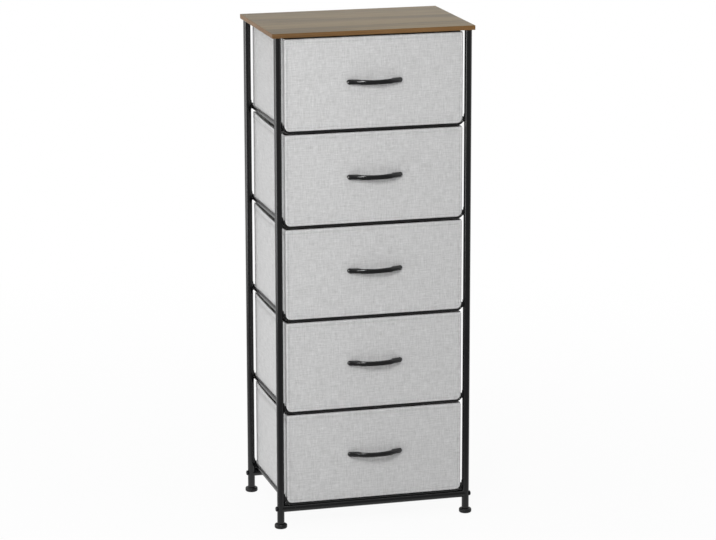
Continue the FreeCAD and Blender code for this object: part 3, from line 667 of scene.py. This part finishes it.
def make_front(drawer):
    """The sleeve: a rounded slab, cut where the cloth bends, then pressed in."""
    sizes = half, low_z, high_z, face_y = front_sizes(drawer)
    back_y = face_y + SLEEVE_THICKNESS
    shape = block((2 * half, SLEEVE_THICKNESS, high_z - low_z),
                  (0, middle(face_y, back_y), middle(low_z, high_z)))
    for radius, height in ((LOW_CORNER, low_z), (HIGH_CORNER, high_z)):
        corners = [e for e in shape.edges if runs_along(e, 1)
                   and abs(e.verts[0].co.z - height) < 1e-6]
        bevel_round(shape, corners, radius, segments=8)
    rim = [e for e in shape.edges if all(abs(v.co.y - face_y) < 1e-6 for v in e.verts)]
    bevel_round(shape, rim, FOLD_RADIUS, segments=5)
    back_rim = [e for e in shape.edges if all(abs(v.co.y - back_y) < 1e-6 for v in e.verts)]
    bevel_round(shape, back_rim, SLEEVE_BACK_EDGE, segments=2)
    across_seam = [step * SEAM_WIDTH for step in (-2.0, -1.5, -1.0, -0.5, 0.0, 0.5, 1.0)]
    in_bend = [-4.4 * MM, -5.5 * MM]
    seam_x, seam_low, seam_high = seam_sizes(half, low_z, high_z)
    columns = evenly(-seam_x + LOW_CORNER, seam_x - LOW_CORNER, CLOTH_STEP)
    columns += [side * (seam_x + row) for side in (-1, 1) for row in across_seam + in_bend]
    slice_at(shape, (1, 0, 0), columns)
    levels = evenly(seam_low + LOW_CORNER, seam_high - LOW_CORNER, CLOTH_STEP)
    levels += [seam_low - row for row in across_seam + in_bend]
    levels += [seam_high + row for row in across_seam]
    slice_at(shape, (0, 0, 1), levels)
    for vert in shape.verts:
        if vert.co.y < face_y + MM / 2:
            vert.co.y += face_depth(drawer, vert.co.x, vert.co.z, sizes)
    return to_object(shape, f"drawer_{drawer}_front_sleeve", f"drawer_{drawer}", [canvas],
                     "linen_fabric", f"drawer_{drawer}_bin", smooth_below=60)


make_on_each_drawer(make_front)


# %% Stitches round the front
def seam_line(half, low_z, high_z):
    """Points of the closed stitch line, anticlockwise from its lower right corner."""
    seam_x, seam_low, seam_high = seam_sizes(half, low_z, high_z)
    bend = LOW_CORNER - SEAM_INSET
    angles = [math.radians(90 / 8 * step) for step in range(9)]
    bends = {}
    for side in (1, -1):
        corner = Vector((side * (seam_x - bend), seam_low + bend))
        bends[side] = [corner + bend * Vector((side * math.sin(angle), -math.cos(angle)))
                       for angle in angles]
    top = [Vector((seam_x, seam_high)), Vector((-seam_x, seam_high))]
    return bends[1] + top + bends[-1][::-1] + bends[1][:1]


def make_front_stitches(drawer):
    """The row of dashes round a sleeve, on the pressed face."""
    sizes = half, low_z, high_z, face_y = front_sizes(drawer)
    shape = bmesh.new()
    sew(shape, [Vector((p.x, face_y + face_depth(drawer, p.x, p.y, sizes), p.y))
                for p in seam_line(half, low_z, high_z)])
    return to_object(shape, f"drawer_{drawer}_front_stitches", f"drawer_{drawer}", [thread],
                     "linen_fabric", smooth_below=180)


make_on_each_drawer(make_front_stitches)

# %% [markdown]
# ## Bins
#
# Behind the sleeve hangs a tub of the same canvas: two sides, a back and a floor. The cloth is folded
# double along the top for a hem, and the sides dip a few millimetres between front and back because
# only their ends are held. The tub starts as a box with no top and no front. Its wall gets a
# thickness, its top strip is thickened again for the hem, and then it is pulled to the sagging line.

# %% Tub sizes
HEM_WIDTH = 13 * MM
HEM_THICKNESS = 0.3 * MM
HEM_SLOPE = 0.25 * MM
CLOTH = 1.7 * MM
SIDE_DIP = 3.4 * MM
BACK_CORNER = 2.5 * MM
FLOOR_ROUND = 2 * MM
TUB_INSET = 0.3 * MM
TUB_FLOOR = 7.87 * MM
TUB_STEP = 14 * MM
INTO_SLEEVE = 0.6 * MM
SLACK = 1.1 * MM
NEAR_SIDE = 3 * MM
NEAR_WALL = 5 * MM
TAUT_CORNER = 60 * MM
TAUT_BACK = 0.97


def tub_sizes(drawer):
    """The tub's half width, front and back y, floor z and rim z at its front."""
    low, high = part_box(f"drawer_{drawer}_bin")
    return (high.x - TUB_INSET, low.y + SLEEVE_THICKNESS - INTO_SLEEVE, high.y, low.z + TUB_FLOOR,
            high.z - BACK_RISE)


def settle(drawer, point, sizes):
    """Where a point of the plain box ends up when the cloth hangs."""
    half, front_y, back_y, floor_z, rim_z = sizes
    along = (point.y - front_y) / (back_y - front_y)
    up = (point.z - floor_z) / (rim_z - floor_z)
    on_side = abs(point.x) > half - NEAR_SIDE
    rim = BACK_RISE * along - 4 * SIDE_DIP * along * (1 - along) * on_side
    settled = point + Vector((0, 0, rim * max(up, 0.0) ** 3))
    slack = math.sin(math.pi * min(1.0, max(up, 0.0)))
    slack *= 1 + slow_wave(drawer + 2, point.y, point.z)
    if abs(point.x) > half - NEAR_WALL and along < TAUT_BACK:
        settled.x -= math.copysign(SLACK * slack * math.sin(math.pi * max(along, 0.0)), point.x)
    elif point.y > back_y - NEAR_WALL:
        settled.y -= SLACK * slack * smooth_step(half - abs(point.x), NEAR_WALL, TAUT_CORNER)
    return settled


# %% Fabric tub
def make_tub(drawer):
    """The tub: an open box of thick cloth with a hem, pulled to its sagging line."""
    sizes = half, front_y, back_y, floor_z, rim_z = tub_sizes(drawer)
    shape = block((2 * half, back_y - front_y, rim_z - floor_z),
                  (0, middle(front_y, back_y), middle(floor_z, rim_z)))
    shape.normal_update()
    gone = [f for f in shape.faces if f.normal.z > 0.5 or f.normal.y < -0.5]
    bmesh.ops.delete(shape, geom=gone, context="FACES")
    uprights = [e for e in shape.edges if runs_along(e, 2) and e.verts[0].co.y > back_y - MM]
    bevel_round(shape, uprights, BACK_CORNER, segments=4)
    bottom = [e for e in shape.edges if all(v.co.z < floor_z + 1e-6 for v in e.verts)
              and e.calc_face_angle(0) > math.radians(45)]
    bevel_round(shape, bottom, FLOOR_ROUND, segments=3)
    slice_at(shape, (1, 0, 0), evenly(-half + BACK_CORNER, half - BACK_CORNER, TUB_STEP))
    slice_at(shape, (0, 1, 0), evenly(front_y, back_y - BACK_CORNER, TUB_STEP))
    hem_z = rim_z - HEM_WIDTH
    slice_at(shape, (0, 0, 1), evenly(floor_z + FLOOR_ROUND, hem_z, TUB_STEP) + [hem_z])
    bmesh.ops.recalc_face_normals(shape, faces=shape.faces)
    shape.normal_update()
    if any(f.normal.z > 0.5 for f in shape.faces):
        bmesh.ops.reverse_faces(shape, faces=shape.faces)
    bmesh.ops.solidify(shape, geom=shape.faces[:], thickness=CLOTH)
    shape.normal_update()
    band = [f for f in shape.faces if f.calc_center_median().z > hem_z]
    bmesh.ops.inset_region(shape, faces=band, thickness=HEM_SLOPE, depth=HEM_THICKNESS,
                           use_even_offset=True, use_boundary=True)
    for vert in shape.verts:
        vert.co = settle(drawer, vert.co, sizes)
    return to_object(shape, f"drawer_{drawer}_fabric_tub", f"drawer_{drawer}", [canvas],
                     "linen_fabric", f"drawer_{drawer}_bin", smooth_below=60)


make_on_each_drawer(make_tub)


# %% Stitches along the hem
def make_hem_stitches(drawer):
    """Three rows of dashes, along the lower edge of the hem on both sides and the back."""
    sizes = half, front_y, back_y, _, rim_z = tub_sizes(drawer)
    above_edge, from_sleeve = 2.2 * MM, 2 * MM
    proud = HEM_THICKNESS + 0.05 * MM
    level = rim_z - HEM_WIDTH + above_edge
    ends = (front_y + from_sleeve, back_y - BACK_CORNER)
    shape = bmesh.new()
    for side in SIDES.values():
        row = [Vector((side * half, y, level)) for y in (ends[0], *evenly(*ends, TUB_STEP), ends[1])]
        sew(shape, [settle(drawer, p, sizes) + Vector((side * proud, 0, 0)) for p in row])
    wide = half - BACK_CORNER
    row = [Vector((x, back_y, level)) for x in (-wide, *evenly(-wide, wide, TUB_STEP), wide)]
    sew(shape, [settle(drawer, p, sizes) + Vector((0, proud, 0)) for p in row])
    return to_object(shape, f"drawer_{drawer}_hem_stitches", f"drawer_{drawer}", [thread],
                     "linen_fabric", smooth_below=180)


make_on_each_drawer(make_hem_stitches)

# %% [markdown]
# ## Bow handles
#
# The handle is one moulding: a bar that arches out from two feet, screwed on from behind. Its section
# is an oval, a little squared, whose height and thickness change along the way. A cylinder is cut
# across into many rings, and each ring is set to the section at its place.

# %% Bow handle
TIP_REACH = 4 * MM
BAR_THICKNESS = 7.6 * MM
PAD_LENGTH = 22 * MM
ARCH_BLEND = 7 * MM
SLIM = 0.6 * MM
WAIST = 0.4 * MM
TIP_ROUND = 5.6 * MM
TIP_DROP = 1.2 * MM
TIP_HALF_HEIGHT = 0.3 * MM
SQUARENESS = 0.80
RINGS = 72


def bow_section(x, half_length, reach, tall):
    """The bar's outer face, inner face and half height at x, as distances from the seat."""
    rise = reach - TIP_REACH
    radius = (half_length ** 2 + rise ** 2) / (2 * rise)
    distance = abs(x)
    outer = reach - radius + math.sqrt(radius ** 2 - x ** 2)
    arch = reach - radius + math.sqrt(max(0.0, (radius - BAR_THICKNESS) ** 2 - x ** 2))
    pad_x = half_length - PAD_LENGTH
    inner = arch * (1 - smooth_step(distance, pad_x - ARCH_BLEND, pad_x))
    half_height = tall - SLIM - WAIST * (1 - smooth_step(distance, 0, pad_x))
    into_tip = max(0.0, distance - (half_length - TIP_ROUND)) / TIP_ROUND
    half_height *= math.sqrt(max(0.0, 1 - into_tip ** 2))
    return outer - TIP_DROP * into_tip ** 4, inner, max(half_height, TIP_HALF_HEIGHT)


def make_handle(drawer):
    """A cylinder along X whose rings are set to the bow's section."""
    low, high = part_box(f"drawer_{drawer}_handle")
    seat_y, centre_z = high.y, middle(low.z, high.z)
    half_length, reach, tall = high.x, high.y - low.y, (high.z - low.z) / 2
    shape = bmesh.new()
    bmesh.ops.create_cone(shape, cap_ends=True, segments=28, radius1=1.0, radius2=1.0,
                          depth=2 * half_length, matrix=Matrix.Rotation(math.pi / 2, 4, "Y"))
    slice_at(shape, (1, 0, 0), [half_length * math.sin(math.pi * (i / RINGS - 0.5))
                                for i in range(1, RINGS)])
    for vert in shape.verts:
        outer, inner, half_height = bow_section(vert.co.x, half_length, reach, tall)
        across = math.copysign(abs(vert.co.y) ** SQUARENESS, vert.co.y)
        up = math.copysign(abs(vert.co.z) ** SQUARENESS, vert.co.z)
        depth = middle(outer, inner) - across * (outer - inner) / 2
        vert.co = (vert.co.x, seat_y - depth, centre_z + up * half_height)
    bmesh.ops.recalc_face_normals(shape, faces=shape.faces)
    return to_object(shape, f"drawer_{drawer}_bow_handle", f"drawer_{drawer}", [handle_abs],
                     "handle_plastic", f"drawer_{drawer}_handle", smooth_below=50)


make_on_each_drawer(make_handle)

# %% [markdown]
# ## Finishes on the rigid pieces
#
# The steel frame, the hardware and the hardboard already have their right shapes. Each keeps its own
# mesh and only swaps the plain material that it came with for the finished one of the same slot.

# %% Finish the frame's own nodes
FINISHES = {
    "powder_coat": powder_coat,
    "plug_nylon": plug_nylon,
    "zinc_steel": zinc_plate,
    "black_bolt": black_oxide,
    "hardboard": hardboard,
    "wood_laminate": walnut_paper_and_painted_sheen,
    "foot_plastic": foot_polyethylene,
    "handle_plastic": handle_abs,
    "linen_fabric": canvas,
}
dressed = 0
for node in nodes.values():
    for place in node.material_slots:
        slot_name = place.material.name.split(".")[0]
        if slot_name in FINISHES:
            place.material = FINISHES[slot_name]
            dressed += 1
print("finished", dressed, "nodes")

# %% [markdown]
# ## The studio
#
# The dresser stands on a plain pale floor in soft light. To the camera the floor and the air are
# white, so the page round the object stays clean, while the object itself is lit by a plain grey sky
# and five soft lamps. Glossy surfaces mirror what a real studio has: a white backdrop behind and
# beside the object, and a dim room on the side where the camera stands. That dim side is what makes
# black steel look black. The floor keeps part of the shadow. It whitens away from the object, so that
# it meets the air without an edge.

# %% What glossy surfaces mirror
DIM_SIDE = 0.3


def mirror_rays(tree):
    """1 for rays that reflect off or pass through something glossy."""
    path = add(tree, "ShaderNodeLightPath").outputs
    return add(tree, "ShaderNodeMath", {0: path["Is Glossy Ray"], 1: path["Is Transmission Ray"]},
               operation="MAXIMUM").outputs[0]


def backdrop_glow(tree, place, front_y):
    """1 towards the backdrop at +Y, falling to the dim side where Y is below front_y."""
    depth = add(tree, "ShaderNodeSeparateXYZ", {"Vector": place}).outputs["Y"]
    return add(tree, "ShaderNodeMapRange", {"Value": depth, "From Min": front_y, "From Max": 0.0,
                                            "To Min": DIM_SIDE, "To Max": 1.0}).outputs["Result"]


# %% Sky
def make_sky(strength):
    """White to the camera, the studio to mirrors, and plain light of a strength to the rest."""
    world = bpy.data.worlds.new("studio_sky")
    bpy.context.scene.world = world
    world.use_nodes = True
    tree = world.node_tree
    glow = backdrop_glow(tree, add(tree, "ShaderNodeTexCoord").outputs["Generated"], -0.75)
    lit = add(tree, "ShaderNodeMix", {0: mirror_rays(tree), 2: strength, 3: glow})
    seen = add(tree, "ShaderNodeLightPath").outputs["Is Camera Ray"]
    power = add(tree, "ShaderNodeMix", {0: seen, 2: lit.outputs[0], 3: 1.0})
    air = tree.nodes["Background"]
    air.inputs["Color"].default_value = linear("#ffffff")
    tree.links.new(power.outputs[0], air.inputs["Strength"])


make_sky(0.42)
print("sky made")


# %% Floor
def make_floor(white_share):
    """A pale floor; white_share is how white it looks to the camera beside the object."""
    half_size, near, far = 4.0, 0.3, 2.4
    shape = bmesh.new()
    bmesh.ops.create_grid(shape, x_segments=1, y_segments=1, size=half_size)
    mesh = bpy.data.meshes.new("studio_floor")
    shape.to_mesh(mesh)
    shape.free()
    material, tree, shader = new_material("matt_white_floor", Base_Color=linear("#e0e0e0"),
                                          Roughness=0.9, Specular_IOR_Level=0.0)
    place = add(tree, "ShaderNodeTexCoord").outputs["Object"]
    mirror = mirror_rays(tree)
    seen = add(tree, "ShaderNodeLightPath").outputs["Is Camera Ray"]
    power = add(tree, "ShaderNodeMix", {0: seen, 2: backdrop_glow(tree, place, -0.5), 3: 1.0})
    glow = add(tree, "ShaderNodeEmission", {"Color": linear("#ffffff"),
                                            "Strength": power.outputs[0]})
    away = add(tree, "ShaderNodeVectorMath", {0: place}, operation="LENGTH").outputs["Value"]
    fade = add(tree, "ShaderNodeMapRange", {"Value": away, "From Min": near, "From Max": far,
                                            "To Min": white_share, "To Max": 1.0})
    white = add(tree, "ShaderNodeMath", {0: seen, 1: mirror}, operation="MAXIMUM")
    share = add(tree, "ShaderNodeMath", {0: white.outputs[0], 1: fade.outputs["Result"]},
                operation="MULTIPLY")
    mixed = add(tree, "ShaderNodeMixShader", {
        0: share.outputs[0], 1: shader.outputs["BSDF"], 2: glow.outputs["Emission"]})
    tree.links.new(mixed.outputs[0], tree.nodes["Material Output"].inputs["Surface"])
    mesh.materials.append(material)
    floor = bpy.data.objects.new("studio_floor", mesh)
    bpy.context.scene.collection.objects.link(floor)


make_floor(0.94)
print("floor made")

# %% [markdown]
# ## The lamps
#
# A small key softbox in front on the left draws the shapes. Two wide ones light the left side, and a
# wide one overhead the board. The fifth lifts the back and isn't mirrored, because the white backdrop
# stands there. Angles are in degrees, distances and sizes in metres, and powers in watts.

# %% Lamps
def add_lamp(name, azimuth, elevation, distance, size, power, look_at, mirrored=True):
    """A square softbox, placed by the angles at which it is seen from the object."""
    a, e = math.radians(azimuth), math.radians(elevation)
    toward = Vector((math.sin(a) * math.cos(e), -math.cos(a) * math.cos(e), math.sin(e)))
    data = bpy.data.lights.new(name, "AREA")
    data.size = size
    data.energy = power
    lamp = bpy.data.objects.new(name, data)
    lamp.location = look_at + toward * distance
    lamp.rotation_euler = (-toward).to_track_quat("-Z", "Y").to_euler()
    lamp.visible_glossy = mirrored
    bpy.context.scene.collection.objects.link(lamp)


centre = Vector((0, 0, 560 * MM))
lower_half = Vector((0, 0, 350 * MM))
add_lamp("key_softbox", -25, 28, 2.6, 0.7, 31, centre)
add_lamp("left_softbox", -75, 0, 2.4, 1.0, 20, lower_half)
add_lamp("rear_left_softbox", -110, 0, 2.4, 1.0, 7, lower_half)
add_lamp("top_softbox", 10, 75, 2.8, 1.8, 8, centre)
add_lamp("rear_fill_softbox", 158, 8, 2.8, 1.6, 24, centre, mirrored=False)

# %% [markdown]
# ## The camera
#
# The camera stands about six and three quarter metres off with a long lens, a little left of centre
# and above, as for a catalogue. Its place is worked out from the two angles, the distance and a small
# slide in its own plane.

# %% Camera
def make_camera():
    """A long lens on a 36 mm sensor, aimed at the middle of the object."""
    azimuth, elevation, roll = (math.radians(d) for d in (-15.261, 13.358, -0.098))
    distance, slide_x, slide_y = 6747.8 * MM, -2.92 * MM, 41.61 * MM
    target = Vector((0, 9.75 * MM, 580 * MM))
    back = Vector((math.sin(azimuth) * math.cos(elevation),
                   -math.cos(azimuth) * math.cos(elevation), math.sin(elevation)))
    right = Vector((math.cos(azimuth), math.sin(azimuth), 0))
    up = back.cross(right)
    turned_right = right * math.cos(roll) + up * math.sin(roll)
    turned_up = up * math.cos(roll) - right * math.sin(roll)
    data = bpy.data.cameras.new("catalogue_camera")
    data.sensor_width = 36
    data.sensor_fit = "HORIZONTAL"
    data.lens = 153.0
    data.clip_end = 100
    camera = bpy.data.objects.new("catalogue_camera", data)
    axes = Matrix((turned_right, turned_up, back)).transposed().to_4x4()
    spot = target + back * distance - turned_right * slide_x - turned_up * slide_y
    camera.matrix_world = Matrix.Translation(spot) @ axes
    bpy.context.scene.collection.objects.link(camera)
    bpy.context.scene.camera = camera
    return camera


print("camera at", [round(v, 3) for v in make_camera().location])
bpy.context.scene.view_settings.view_transform = "Standard"
